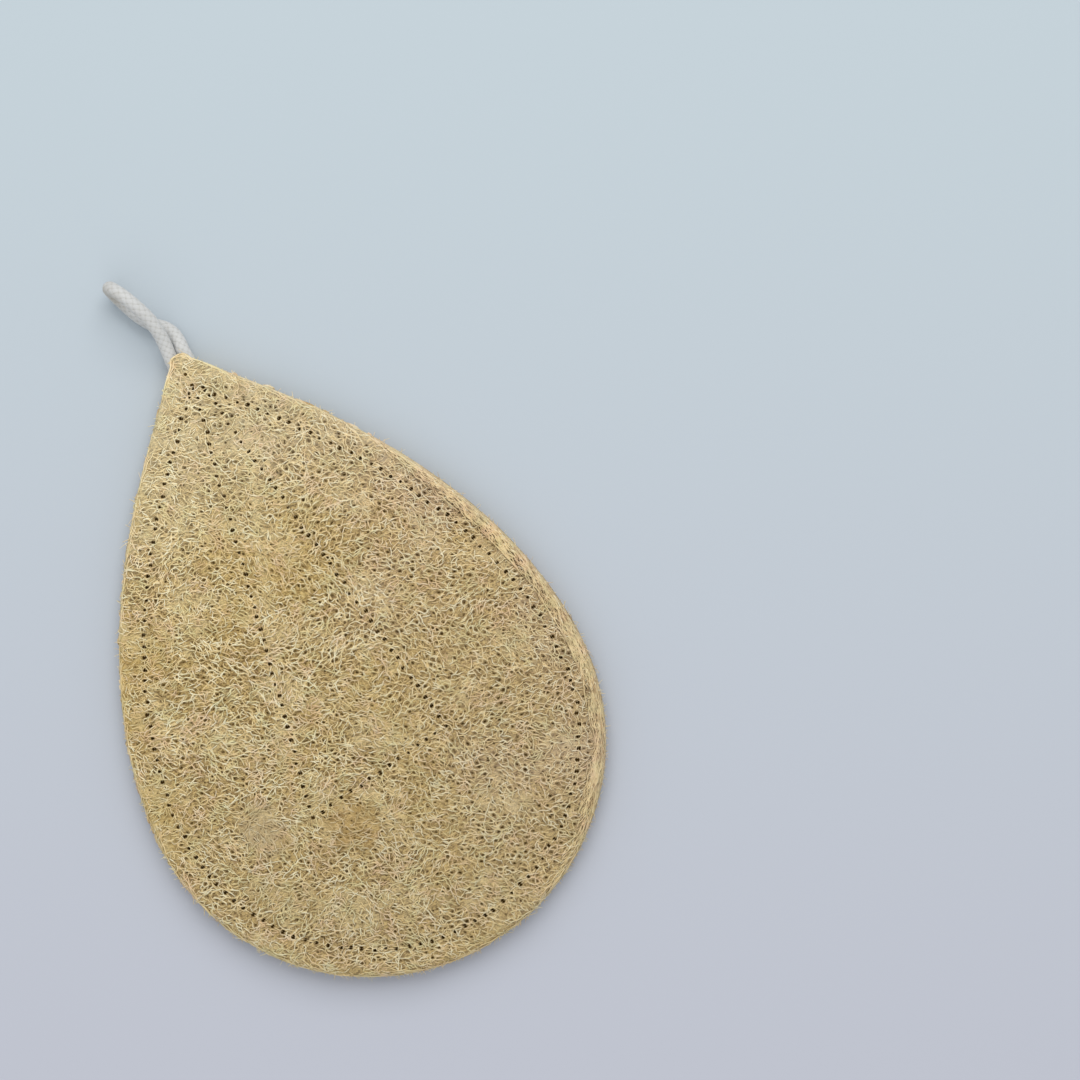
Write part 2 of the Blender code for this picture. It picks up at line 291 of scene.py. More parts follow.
def read(chart, places):
    """The chart's value at each place, blended from the four crossings round it."""
    across = np.clip((places[..., 0] - CHART_X[0]) / CHART_STEP, 0, len(CHART_X) - 1.001)
    along = np.clip((places[..., 1] - CHART_Y[0]) / CHART_STEP, 0, len(CHART_Y) - 1.001)
    i, j = across.astype(int), along.astype(int)
    u, v = across - i, along - j
    low = chart[j, i] * (1 - u) + chart[j, i + 1] * u
    high = chart[j + 1, i] * (1 - u) + chart[j + 1, i + 1] * u
    return low * (1 - v) + high * v


def ripples(places, wavelength, seed, count=12):
    """Smooth random values of about unit size: plane waves of about this wavelength, summed."""
    draw = np.random.default_rng(seed)
    turn = draw.uniform(0, 2 * math.pi, count)
    pace = 2 * math.pi / (wavelength * draw.uniform(0.7, 1.6, count))
    phase = draw.uniform(0, 2 * math.pi, count)
    across = places @ np.stack([np.cos(turn) * pace, np.sin(turn) * pace])
    return np.sin(across + phase).sum(axis=-1) * math.sqrt(2 / count)


COARSE_EDGE = outline_loop(2.0)
EDGE = outline_loop(0.85)


def strayed(row, seed):
    """A row of needle holes as a hand guides it, each a little off its even place."""
    return row + np.random.default_rng(seed).normal(0, HOLE_STRAY, row.shape)


ROWS = (strayed(seam_loop(SEAM_INSET, HOLE_PITCH), 11), strayed(inner_rows(HOLE_PITCH), 12))
HOLES = np.concatenate([*ROWS, TACK_HOLES])
HOLE_SIZES = np.random.default_rng(13).uniform(HOLE_SMALL, HOLE_LARGE, len(HOLES))
INWARD = charted(lambda p: np.where(inside(COARSE_EDGE, p), 1, -1) * distance_to(COARSE_EDGE, p))
FROM_SEAM = charted(lambda p: np.minimum(*(distance_to(row[::2], p) for row in ROWS)))
SLOPE_Y, SLOPE_X = np.gradient(INWARD, CHART_STEP)


def slope_at(places):
    """The way straight inward from the edge."""
    slope = np.stack([read(SLOPE_X, places), read(SLOPE_Y, places)], axis=-1)
    return slope / np.maximum(np.linalg.norm(slope, axis=-1, keepdims=True), 1e-6)


def turned_left(ways):
    """Flat directions turned a quarter to the left."""
    return np.stack([-ways[..., 1], ways[..., 0]], axis=-1)


def search_tree(centres):
    """A tree that finds the nearest of these centres, in the plane or in space."""
    tree = kdtree.KDTree(len(centres))
    for k, centre in enumerate(centres):
        tree.insert(Vector(centre).to_3d(), k)
    tree.balance()
    return tree


def nearest_chart(centres):
    """For each crossing of the chart's grid, which of the centres is nearest."""
    tree = search_tree(centres)
    return np.array([[tree.find((x, y, 0.0))[1] for x in CHART_X] for y in CHART_Y])


def nearest(chart, places):
    """Which centre the chart names at the crossing closest to each place."""
    across = np.clip(np.round((places[..., 0] - CHART_X[0]) / CHART_STEP), 0, len(CHART_X) - 1)
    along = np.clip(np.round((places[..., 1] - CHART_Y[0]) / CHART_STEP), 0, len(CHART_Y) - 1)
    return chart[along.astype(int), across.astype(int)]


NEAR_HOLE = nearest_chart(HOLES)


def eased(value, start, end):
    """0 where the value is at its start or before, 1 at its end or past it, and eased in between."""
    return smooth((value - start) / (end - start))


def right_lip(places):
    """1 along the pad's right side, where the smooth lip is wide, and 0 elsewhere."""
    x, y = places[..., 0], places[..., 1]
    return eased(x, *LIP_SIDE) * eased(y, *LIP_TOP) * eased(y, *LIP_BASE)


def beside_vein(places):
    """1 on the long vein left of the middle, fading out over a few millimetres."""
    start, end = np.array(VEIN[0]), np.array(VEIN[1])
    run = end - start
    share = np.clip(((places - start) @ run) / (run @ run), 0, 1)
    away = np.linalg.norm(places - start - share[..., None] * run, axis=-1)
    return 1 - smooth(away / VEIN_REACH)


def felt(places):
    """How closely matted the front is, from 0 where it is open to 1 where it is a smooth felt."""
    open_right = 0.22 * smooth((places[..., 0] + 5.0) / 25.0)
    uneven = 0.30 * ripples(places, 16.0, 21) + 0.22 * ripples(places, 5.5, 22)
    patchy = smooth(0.42 + uneven - open_right)
    spot_away = np.hypot(places[..., 0] - MATTED_SPOT[0][0], places[..., 1] - MATTED_SPOT[0][1])
    matted = 1 - smooth((spot_away - MATTED_CORE) / MATTED_FADE)
    lip = right_lip(places) * (1 - smooth((read(INWARD, places) - 2.2) / 1.0))
    return np.clip(np.maximum.reduce([0.8 * patchy, matted, beside_vein(places), lip]), 0, 1)


def wall_height(places):
    """Height of the rim's upright wall over the layer's inner face, tallest round the tip."""
    return WALL + TIP_WALL * smooth((places[..., 1] - TIP_WALL_START) / TIP_WALL_FADE)


def rise(places):
    """Height of the finished face over the layer's inner face: rolled at the rim, dipped along the
    sewn rows and gently uneven."""
    inward = read(INWARD, places)
    wall = wall_height(places)
    rolled = np.sqrt(1 - (1 - np.clip(inward / ROLL, 0, 1)) ** 2)
    crown = smooth((inward - CROWN_START) / (CROWN_END - CROWN_START))
    dip = SEAM_DIP * np.exp(-((read(FROM_SEAM, places) / SEAM_SPREAD) ** 2))
    uneven = 0.10 * ripples(places, 11.0, 5) + 0.05 * ripples(places, 4.0, 6) - 0.22
    level = wall + (LAYER_RIM - wall) * rolled + (LAYER_MIDDLE - LAYER_RIM) * crown
    return level + (uneven - dip) * smooth(inward / 4.0)


def height_of(level, facing):
    """Height over the table of a level in the front layer, facing 1, or in the back one, -1."""
    return MID_HEIGHT + facing * (LAYER_GAP / 2 + level)


def smooth_route(route, step):
    """Points at about this step along a smooth curve through the route's own points."""
    ends = [2 * Vector(route[0]) - Vector(route[1]), 2 * Vector(route[-1]) - Vector(route[-2])]
    knots = [ends[0], *map(Vector, route), ends[1]]
    fine = []
    for a, b, c, d in zip(knots, knots[1:], knots[2:], knots[3:]):
        for k in range(12):
            t = k / 12
            fine.append(
                b
                + (c - a) * (t / 2)
                + (2 * a - 5 * b + 4 * c - d) * (t * t / 2)
                + (3 * b - a - 3 * c + d) * (t**3 / 2)
            )
    fine.append(Vector(route[-1]))
    line = np.array(fine)
    along = summed(np.linalg.norm(np.diff(line, axis=0), axis=1))
    wanted = np.linspace(0.0, along[-1], round(along[-1] / step) + 1)
    return walked(line, along, wanted), float(along[-1])


# Node helpers


def new_node(tree, kind, **values):
    node = tree.nodes.new(kind)
    for name, value in values.items():
        setattr(node, name, value)
    return node


def set_inputs(node, **values):
    for name, value in values.items():
        node.inputs[name.replace("_", " ")].default_value = value
    return node


def object_places(tree):
    """The place on the object, in metres."""
    return new_node(tree, "ShaderNodeTexCoord").outputs["Object"]


def noise(tree, places, scale, detail=2.0, roughness=0.5, distortion=0.0):
    """Soft random values round one half over these places."""
    node = new_node(tree, "ShaderNodeTexNoise")
    set_inputs(node, Scale=scale, Detail=detail, Roughness=roughness, Distortion=distortion)
    tree.links.new(places, node.inputs["Vector"])
    return node.outputs[0]


def kept_value(tree, name):
    """The value that the mesh keeps under this name at each of its points."""
    return new_node(tree, "ShaderNodeAttribute", attribute_name=name).outputs["Fac"]


def ranged(tree, source, low, high, to_low=0.0, to_high=1.0):
    """A value taken from one range to another, held at the ends."""
    node = new_node(tree, "ShaderNodeMapRange", interpolation_type="SMOOTHSTEP")
    for name, value in zip(("From Min", "From Max", "To Min", "To Max"), (low, high, to_low, to_high)):
        node.inputs[name].default_value = value
    tree.links.new(source, node.inputs["Value"])
    return node.outputs["Result"]


def maths(tree, operation, first, second):
    """One operation on two values, each either a number or a socket."""
    node = new_node(tree, "ShaderNodeMath", operation=operation)
    for place, value in zip(node.inputs, (first, second)):
        if isinstance(value, (int, float)):
            place.default_value = value
        else:
            tree.links.new(value, place)
    return node.outputs[0]


def tinted(tree, share, first, second):
    """Two colours mixed by a share, each either a colour or a socket."""
    node = new_node(tree, "ShaderNodeMix", data_type="RGBA")
    tree.links.new(share, node.inputs[0])
    for place, value in zip((node.inputs[6], node.inputs[7]), (first, second)):
        if isinstance(value, tuple):
            place.default_value = (*value, 1.0)
        else:
            tree.links.new(value, place)
    return node.outputs[2]


def new_group(name, inputs, outputs):
    """An empty node group with these sockets, and its input and output nodes."""
    group = bpy.data.node_groups.new(name, "ShaderNodeTree")
    for title, kind, value in inputs:
        socket = group.interface.new_socket(title, in_out="INPUT", socket_type=kind)
        socket.default_value = value
    for title, kind in outputs:
        group.interface.new_socket(title, in_out="OUTPUT", socket_type=kind)
    return group, group.nodes.new("NodeGroupInput"), group.nodes.new("NodeGroupOutput")


STRAW_COLOURS = ("Dark", "Middle", "Pale", "Warm", "Olive")


def straw_group():
    """Colour of dried gourd fibre: dark to pale by tone, which holds both the fibre's own tone and
    painted shade on the lower fibres, with soft patches of pink and olive.
    """
    grey = (0.5, 0.5, 0.5, 1.0)
    colours = [(name, "NodeSocketColor", grey) for name in STRAW_COLOURS]
    inputs = [("Tone", "NodeSocketFloat", 0.5), *colours]
    tree, given, result = new_group("dried_gourd_straw", inputs, [("Color", "NodeSocketColor")])
    places = object_places(tree)
    along = noise(tree, places, 700.0, 3.0)
    pink_patch = noise(tree, places, 170.0, 4.0, 0.65)
    olive_patch = noise(tree, places, 230.0, 4.0, 0.65, 0.4)
    varied = ranged(tree, along, 0.3, 0.7, -0.16, 0.16)
    level = maths(tree, "ADD", given.outputs["Tone"], varied)
    low = tinted(tree, ranged(tree, level, 0.0, 0.5), given.outputs["Dark"], given.outputs["Middle"])
    base = tinted(tree, ranged(tree, level, 0.45, 1.0), low, given.outputs["Pale"])
    pink = ranged(tree, pink_patch, 0.46, 0.66, 0.0, 0.55)
    olive = ranged(tree, olive_patch, 0.46, 0.66, 0.0, 0.55)
    warmed = tinted(tree, pink, base, given.outputs["Warm"])
    greened = tinted(tree, olive, warmed, given.outputs["Olive"])
    tree.links.new(greened, result.inputs["Color"])
    return tree


STRAW = straw_group()


def new_material(name, roughness, specular=0.25):
    made = bpy.data.materials.new(name)
    made.use_nodes = True
    shader = made.node_tree.nodes["Principled BSDF"]
    shader.inputs["Roughness"].default_value = roughness
    shader.inputs["Specular IOR Level"].default_value = specular
    return made, made.node_tree, shader


def straw(tree, colours):
    """The straw group in a material, with its five colours and the tone of each fibre."""
    node = new_node(tree, "ShaderNodeGroup", node_tree=STRAW)
    for name, colour in zip(STRAW_COLOURS, colours):
        node.inputs[name].default_value = (*colour, 1.0)
    tree.links.new(kept_value(tree, "tone"), node.inputs["Tone"])
    return node.outputs["Color"]


def spot(tree, centre, radius, edge):
    """A mask that is 1 round a centre, in millimetres, and fades out over its uneven edge."""
    places = object_places(tree)
    away = new_node(tree, "ShaderNodeVectorMath", operation="DISTANCE")
    tree.links.new(places, away.inputs[0])
    away.inputs[1].default_value = [c * MM for c in centre]
    ragged = noise(tree, places, 260.0, 3.0)
    shift = ranged(tree, ragged, 0.3, 0.7, -radius * MM * 0.35, radius * MM * 0.35)
    total = maths(tree, "ADD", away.outputs["Value"], shift)
    return ranged(tree, total, (radius - edge) * MM, (radius + edge) * MM, 1.0, 0.0)


def raised(tree, shader, height, distance, strength):
    """Bump on a material, from a height between 0 and 1 and a distance in millimetres."""
    bump = set_inputs(new_node(tree, "ShaderNodeBump"), Strength=strength, Distance=distance * MM)
    tree.links.new(height, bump.inputs["Height"])
    tree.links.new(bump.outputs["Normal"], shader.inputs["Normal"])


def rough_bump(tree, shader, scale, distance):
    """The fine grain of a fibre's own surface."""
    raised(tree, shader, noise(tree, object_places(tree), scale, 3.0), distance, 0.6)


# Straw colours: dark, middle, pale, warm and olive. Towards dark they also carry the painted shade of the
# lower fibres.
FINE_STRAW = (
    (0.33, 0.205, 0.065),
    (0.88, 0.69, 0.35),
    (1.0, 0.94, 0.69),
    (0.88, 0.62, 0.42),
    (0.74, 0.68, 0.35),
)
COARSE_STRAW = (
    (0.48, 0.31, 0.13),
    (0.78, 0.58, 0.33),
    (0.96, 0.81, 0.57),
    (0.84, 0.56, 0.36),
    (0.72, 0.60, 0.33),
)

# Colours of the imported beds: dark, which is also painted shade in the gaps between the fibres; pale;
# matted; and painted shade in the needle holes and pits
FINE_BED = ((0.15, 0.088, 0.021), (0.60, 0.43, 0.17), (0.74, 0.57, 0.275), (0.085, 0.048, 0.012))
COARSE_BED = ((0.20, 0.12, 0.045), (0.46, 0.31, 0.14), (0.52, 0.36, 0.18), (0.07, 0.04, 0.015))


def stains_and_painted_light(tree, colour):
    """A colour with the pad's marks: a golden stain, a greyer matted patch, soft ochre patches towards
    the left and pinkish ones towards the right, with painted shade towards the base and painted light at
    the tip."""
    golden = maths(tree, "MULTIPLY", spot(tree, *GOLDEN_SPOT), 0.55)
    colour = tinted(tree, golden, colour, (0.53, 0.34, 0.10))
    greyed = maths(tree, "MULTIPLY", spot(tree, *MATTED_SPOT), 0.5)
    colour = tinted(tree, greyed, colour, (0.52, 0.40, 0.23))
    places = object_places(tree)
    split = new_node(tree, "ShaderNodeSeparateXYZ")
    tree.links.new(places, split.inputs[0])
    broad = noise(tree, places, 42.0, 3.0, 0.6)
    leftward = ranged(tree, split.outputs["X"], -25 * MM, 30 * MM, 1.0, 0.25)
    ochre = maths(tree, "MULTIPLY", ranged(tree, broad, 0.48, 0.62, 0.0, 0.32), leftward)
    colour = tinted(tree, ochre, colour, (0.68, 0.49, 0.18))
    rightward = ranged(tree, split.outputs["X"], -10 * MM, 45 * MM, 0.1, 1.0)
    mauve = maths(tree, "MULTIPLY", ranged(tree, broad, 0.62, 0.40, 0.12, 0.34), rightward)
    colour = tinted(tree, mauve, colour, (0.74, 0.57, 0.45))
    # Painted shade: darker and duller towards the base
    painted_base_shade = ranged(tree, split.outputs["Y"], -80 * MM, 50 * MM, 0.28, 0.0)
    colour = tinted(tree, painted_base_shade, colour, (0.42, 0.33, 0.20))
    # Painted light: paler towards the tip
    painted_tip_light = ranged(tree, split.outputs["Y"], 15 * MM, 65 * MM, 0.0, 0.26)
    return tinted(tree, painted_tip_light, colour, (0.97, 0.88, 0.62))


def fine_material():
    made, tree, shader = new_material("fine_matted_fibre", 0.75, 0.12)
    tree.links.new(stains_and_painted_light(tree, straw(tree, FINE_STRAW)), shader.inputs["Base Color"])
    rough_bump(tree, shader, 2600.0, 0.05)
    return made


def coarse_material():
    made, tree, shader = new_material("coarse_wiry_fibre", 0.68, 0.15)
    tree.links.new(straw(tree, COARSE_STRAW), shader.inputs["Base Color"])
    rough_bump(tree, shader, 2200.0, 0.07)
    return made


def bed_material(name, dark, pale, matted, hole):
    """The packed fibres under the loose ones: dark with painted shade where they are open, pale where
    they are matted, and darkest with painted shade in the needle holes and the pits."""
    made, tree, shader = new_material(name, 0.9, 0.04)
    combed = new_node(tree, "ShaderNodeMapping")
    combed.inputs["Rotation"].default_value = (0.0, 0.0, math.radians(30.0))
    combed.inputs["Scale"].default_value = (0.45, 1.0, 1.0)
    tree.links.new(object_places(tree), combed.inputs["Vector"])
    packed = noise(tree, combed.outputs["Vector"], 3000.0, 3.0, 0.62, 1.2)
    streak = ranged(tree, packed, 0.40, 0.59)
    colour = tinted(tree, streak, dark, pale)
    matted_colour = tinted(tree, streak, tuple(0.45 * c for c in matted), matted)
    # Painted shade: dark dots in the gaps between the fibres
    gap = new_node(tree, "ShaderNodeTexVoronoi")
    set_inputs(gap, Scale=720.0, Randomness=1.0)
    tree.links.new(combed.outputs["Vector"], gap.inputs["Vector"])
    painted_gap_shade = ranged(tree, gap.outputs["Distance"], 0.12, 0.30, 0.9, 0.0)
    close = ranged(tree, kept_value(tree, "felt"), 0.2, 0.9)
    colour = tinted(tree, close, colour, matted_colour)
    colour = stains_and_painted_light(tree, tinted(tree, painted_gap_shade, colour, dark))
    # Painted shade in the needle holes and pits, darkest where deepest
    deep = ranged(tree, kept_value(tree, "hole"), 0.05, 0.75)
    tree.links.new(tinted(tree, deep, colour, hole), shader.inputs["Base Color"])
    raised(tree, shader, packed, 0.3, 0.8)
    return made


def thread_material():
    made, tree, shader = new_material("spun_sewing_thread", 0.7)
    twist = ranged(tree, noise(tree, object_places(tree), 1800.0), 0.3, 0.7)
    colour = tinted(tree, twist, (0.62, 0.47, 0.24), (0.80, 0.66, 0.40))
    tree.links.new(colour, shader.inputs["Base Color"])
    rough_bump(tree, shader, 4000.0, 0.04)
    return made


def cotton_material():
    """White braided cotton, with painted shade greying it between its strands and browning it at the
    loop's bend.
    """
    made, tree, shader = new_material("braided_cotton", 0.85, 0.2)
    # Painted shade between the plait's strands
    plait = ranged(tree, kept_value(tree, "plait"), 0.1, 0.9)
    colour = tinted(tree, plait, (0.44, 0.43, 0.40), (0.61, 0.605, 0.595))
    yarn = ranged(tree, noise(tree, object_places(tree), 4200.0, 3.0), 0.35, 0.75, 0.0, 0.25)
    colour = tinted(tree, yarn, colour, (0.44, 0.43, 0.39))
    # Painted shade browning the loop's bend
    bend_shade = maths(tree, "MULTIPLY", spot(tree, *CORD_BEND_SHADE), 0.55)
    colour = tinted(tree, bend_shade, colour, (0.36, 0.30, 0.21))
    tree.links.new(colour, shader.inputs["Base Color"])
    shader.inputs["Sheen Weight"].default_value = 0.25
    shader.inputs["Sheen Roughness"].default_value = 0.5
    rough_bump(tree, shader, 3200.0, 0.06)
    return made


# Pieces


def add_piece(name, mesh, material):
    """A piece of the pad in the scene, with its material and slot. All of them ride on the one body."""
    piece = bpy.data.objects.new(name, mesh)
    bpy.context.scene.collection.objects.link(piece)
    mesh.materials.clear()
    mesh.materials.append(material)
    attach(piece, "root")
    return piece


def tube(name, places, radius, rounding):
    """A curve with a round section through these places, and its spline."""
    curve = bpy.data.curves.new(name, "CURVE")
    curve.dimensions = "3D"
    curve.bevel_depth = radius * MM
    curve.bevel_resolution = rounding
    spline = curve.splines.new("POLY")
    spline.points.add(len(places) - 1)
    for point, place in zip(spline.points, places):
        point.co = (*(float(c) * MM for c in place), 1.0)
    spline.use_smooth = True
    return curve, spline


def mesh_of_curve(curve):
    """The curve's evaluated tube as a mesh."""
    holder = bpy.data.objects.new("holder", curve)
    bpy.context.scene.collection.objects.link(holder)
    shape = holder.evaluated_get(bpy.context.evaluated_depsgraph_get())
    mesh = bpy.data.meshes.new_from_object(shape)
    bpy.data.objects.remove(holder)
    return mesh


def keep_values(mesh, name, values):
    """Keeps a value for each of the mesh's points, which its material reads by this name."""
    held = mesh.attributes.new(name, "FLOAT", "POINT")
    held.data.foreach_set("value", values.astype(np.float32))


def weld(mesh):
    """Joins a tube's loose caps to its ends."""
    bm = bmesh.new()
    bm.from_mesh(mesh)
    bmesh.ops.remove_doubles(bm, verts=bm.verts, dist=0.001 * MM)
    bm.to_mesh(mesh)
    bm.free()


PRESSED = 0.72


def fibre_section(sides, facing):
    """A small outline that a fibre is swept from, pressed flatter than it is wide, its first corner
    towards the face that it lies in."""
    curve = bpy.data.curves.new("fibre_section", "CURVE")
    curve.dimensions = "2D"
    spline = curve.splines.new("POLY")
    spline.points.add(sides - 1)
    for k, point in enumerate(spline.points):
        turn = facing * math.pi / 2 - 2 * math.pi * k / sides
        point.co = (math.cos(turn), PRESSED * math.sin(turn), 0.0, 1.0)
    spline.use_cyclic_u = True
    return bpy.data.objects.new("fibre_section", curve)


TONES = 10


def fibres(name, lines, widths, tones, sides, facing=1):
    """One mesh of closed tubes along these lines, with each fibre's tone kept in an attribute.
    Lines holds number x count x 3 places, widths number x count radii, tones a whole number each."""
    section = fibre_section(sides, facing)
    bm = bmesh.new()
    for tone in range(TONES):
        curve = bpy.data.curves.new(name, "CURVE")
        curve.dimensions = "3D"
        curve.bevel_mode = "OBJECT"
        curve.bevel_object = section
        curve.twist_mode = "Z_UP"
        curve.use_fill_caps = True
        chosen = np.flatnonzero(tones == tone)
        for k in chosen:
            places = np.ones((lines.shape[1], 4))
            places[:, :3] = lines[k] * MM
            spline = curve.splines.new("POLY")
            spline.points.add(len(places) - 1)
            spline.points.foreach_set("co", places.ravel())
            spline.points.foreach_set("radius", widths[k] * MM)
            spline.use_smooth = True
        mesh = mesh_of_curve(curve)
        keep_values(mesh, "tone", np.full(len(mesh.vertices), (tone + 0.5) / TONES))
        bm.from_mesh(mesh)
        bpy.data.meshes.remove(mesh)
        bpy.data.curves.remove(curve)
    bpy.data.objects.remove(section)
    bmesh.ops.remove_doubles(bm, verts=bm.verts, dist=0.001 * MM)
    mesh = bpy.data.meshes.new(name)
    bm.to_mesh(mesh)
    bm.free()
    mesh.shade_smooth()
    return mesh


def hanging_loop():
    """The cord as a round tube whose surface is raised in a plait of strands."""
    places, length = smooth_route(LOOP_ROUTE, 0.20)
    curve, _ = tube("cotton_loop", places, CORD_DIAMETER / 2 * CORD_CORE, 16)
    curve.use_fill_caps = True
    mesh = mesh_of_curve(curve)
    corners = len(mesh.loops)
    at = np.empty(corners, int)
    mesh.loops.foreach_get("vertex_index", at)
    turns = np.empty(corners * 2)
    mesh.uv_layers[0].data.foreach_get("uv", turns)
    turns = turns.reshape(-1, 2)
    along, around = np.zeros(len(mesh.vertices)), np.zeros(len(mesh.vertices))
    along[at], around[at] = turns[:, 0] * length, turns[:, 1]
    first = np.sin(math.pi * (PLAITS * around + along * PLAITS / PLAIT_LENGTH))
    second = np.sin(math.pi * (PLAITS * around - along * PLAITS / PLAIT_LENGTH))
    over = 0.5 + 0.5 * np.tanh(3 * first * second)
    strands = np.abs(first) ** 0.6 * over + np.abs(second) ** 0.6 * (1 - over)
    co = np.empty(len(mesh.vertices) * 3)
    mesh.vertices.foreach_get("co", co)
    co = co.reshape(-1, 3)
    core = search_tree(places * MM)
    middle = np.array([core.find(c)[0] for c in co])
    out = co - middle
    reach = np.linalg.norm(out, axis=1, keepdims=True)
    co = co + out / np.maximum(reach, 1e-9) * (strands[:, None] - 0.45) * PLAIT_RELIEF * MM
    mesh.vertices.foreach_set("co", co.ravel())
    keep_values(mesh, "plait", strands)
    weld(mesh)
    mesh.shade_smooth()
    piece = add_piece("cotton_loop", mesh, cotton_material())
    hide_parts("hang_loop")
    return piece


# Layer bodies


def lattice(spacing, seed, margin, stray=0.25):
    """Points all over the pad, this far inside its edge, each strayed from an even lattice."""
    draw = np.random.default_rng(seed)
    rows = np.arange(-PAD_LENGTH / 2, PAD_LENGTH / 2, spacing * 0.87)
    columns = np.arange(-HALF, HALF, spacing)
    x, y = np.meshgrid(columns, rows)
    x = x + (np.arange(len(rows)) % 2)[:, None] * spacing / 2
    places = np.stack([x.ravel(), y.ravel()], axis=1)
    places = places + draw.uniform(-stray, stray, places.shape) * spacing
    return places[read(INWARD, places) > margin]


def ring(centre, radius, sides, start=0.0):
    """Points round a needle hole."""
    turns = np.arange(sides) * 2 * math.pi / sides + start
    return np.stack([np.cos(turns), np.sin(turns)], axis=1) * radius + centre


def slit(centre, radius, turn):
    """Points round a pit that is longer than it is wide."""
    long = np.array((math.cos(turn), math.sin(turn))) * radius * 1.35
    wide = np.array((-math.sin(turn), math.cos(turn))) * radius * 0.85
    angles = np.arange(6) * math.pi / 3
    return centre + np.cos(angles)[:, None] * long + np.sin(angles)[:, None] * wide


def nearest_away(centres, places):
    """How far each place lies from the nearest of the centres other than itself."""
    tree = search_tree(centres)
    found = [[away for _, _, away in tree.find_n((*place, 0.0), 2) if away > 0] for place in places]
    return np.array([min(away, default=99.0) for away in found])


def cord_room(places):
    """How far the inner face gives way to the cord's ends at the tip."""
    past = np.clip(np.abs(places[..., 0]) - CORD_ASIDE, 0.0, CORD_ROOM)
    return np.sqrt(CORD_ROOM**2 - past**2) * smooth((places[..., 1] - POCKET_START) / POCKET_FADE)


def layer_body(name, facing, drop, lift, grain, pits, seed):
    """One layer's packed bed: an uneven face under the loose fibres, with pits where they part, pierced
    by the needle holes, a rolled rim, and an inner face that gives way to the cord. It lies lower
    than the finished face by the drop, less the lift where it is felted."""
    middles, radii, depth, heading = pits
    loose = lattice(1.0, seed, 2.2)
    loose = loose[nearest_away(HOLES, loose) > HOLE_LARGE + 0.5]
    loose = loose[nearest_away(middles, loose) > 0.5]
    edge = EDGE + slope_at(EDGE) * BED_INSET
    loops = [edge]
    for inset in RIM_RINGS:
        loops.append((edge + slope_at(edge) * inset)[:: 2 if inset > 1 else 1])
    floors = [ring(h, size * 0.75, 6) for h, size in zip(HOLES, HOLE_SIZES)] + [HOLES]
    mouths = [ring(h, size + 0.18, 8, 0.3) for h, size in zip(HOLES, HOLE_SIZES)]
    turns = heading(middles)
    brims = [slit(m, r * 1.25, turn) for m, r, turn in zip(middles, radii, turns)]
    groups = [(group, 0) for group in (*loops, loose, *mouths)] + [(f, 1) for f in floors]
    depths = depth * np.random.default_rng(seed + 5).uniform(0.4, 1.0, len(middles))
    groups += [(b, 0) for b in brims] + [(middles, depths)]
    places = np.concatenate([g for g, _ in groups])
    deep = np.concatenate([np.full(len(g), d) for g, d in groups])
    count = len(edge)
    lines = [(k, (k + 1) % count) for k in range(count)]
    points, _, faces, sources, _, _ = delaunay_2d_cdt([Vector(p) for p in places], lines, [], 1, 1e-3)
    flat = np.array([p[:] for p in points])
    deep = np.array([deep[s].max() if s else 0.0 for s in sources])
    inward = read(INWARD, flat)
    matted = felt(flat)
    level = rise(flat) - (drop - lift * matted) * (0.5 + 0.5 * smooth(inward / 2.2))
    level += grain * ripples(flat, 2.4, seed + 1) * smooth(inward / 2.0)
    level -= deep * HOLE_DEPTH
    room = cord_room(flat)
    level = np.maximum(level, np.maximum(THINNEST, room + 0.35))
    bm = bmesh.new()
    # The hole value, how deep a point lies in a needle hole or pit, is painted as shade by the bed's
    # material
    painted_hole_shade = bm.verts.layers.float.new("hole")
    felts = bm.verts.layers.float.new("felt")
    for place, high, hole_shade, close in zip(flat, height_of(level, facing), deep, matted):
        vert = bm.verts.new((place[0] * MM, place[1] * MM, high * MM))
        vert[painted_hole_shade] = float(hole_shade)
        vert[felts] = float(close)
    bm.verts.ensure_lookup_table()
    for face in faces:
        bm.faces.new([bm.verts[k] for k in face])
    walls = bmesh.ops.extrude_edge_only(bm, edges=[e for e in bm.edges if e.is_boundary])["geom"]
    for vert in (v for v in walls if isinstance(v, bmesh.types.BMVert)):
        at = np.array(vert.co.xy) / MM
        vert.co.z = height_of(float(cord_room(at)), facing) * MM
    under = lattice(0.6, seed + 2, 0.4)
    under = np.concatenate([edge, under[under[:, 1] > 64.5], lattice(7.0, seed + 3, 3.0)])
    points, _, faces, _, _, _ = delaunay_2d_cdt([Vector(p) for p in under], lines, [], 1, 1e-5)
    flat = np.array([p[:] for p in points])
    fresh = [
        bm.verts.new((p[0] * MM, p[1] * MM, h * MM))
        for p, h in zip(flat, height_of(cord_room(flat), facing))
    ]
    for face in faces:
        bm.faces.new([fresh[k] for k in face])
    bmesh.ops.remove_doubles(bm, verts=bm.verts, dist=0.0005 * MM)
    bmesh.ops.recalc_face_normals(bm, faces=bm.faces)
    mesh = bpy.data.meshes.new(name)
    bm.to_mesh(mesh)
    bm.free()
    mesh.shade_smooth()
    return mesh


# Loose fibres


def flow(places, seed, heading, swirl):
    """Which way the fibres run: a heading across the pad, and how far they swirl from it."""
    return heading + swirl * (0.34 * ripples(places, 24.0, seed) + 0.26 * ripples(places, 9.0, seed + 1))


# How far in from the edge the fibres turn with it, on the right lip and everywhere
LIP_WIDTH = 3.4
RIM_WIDTH = 1.3


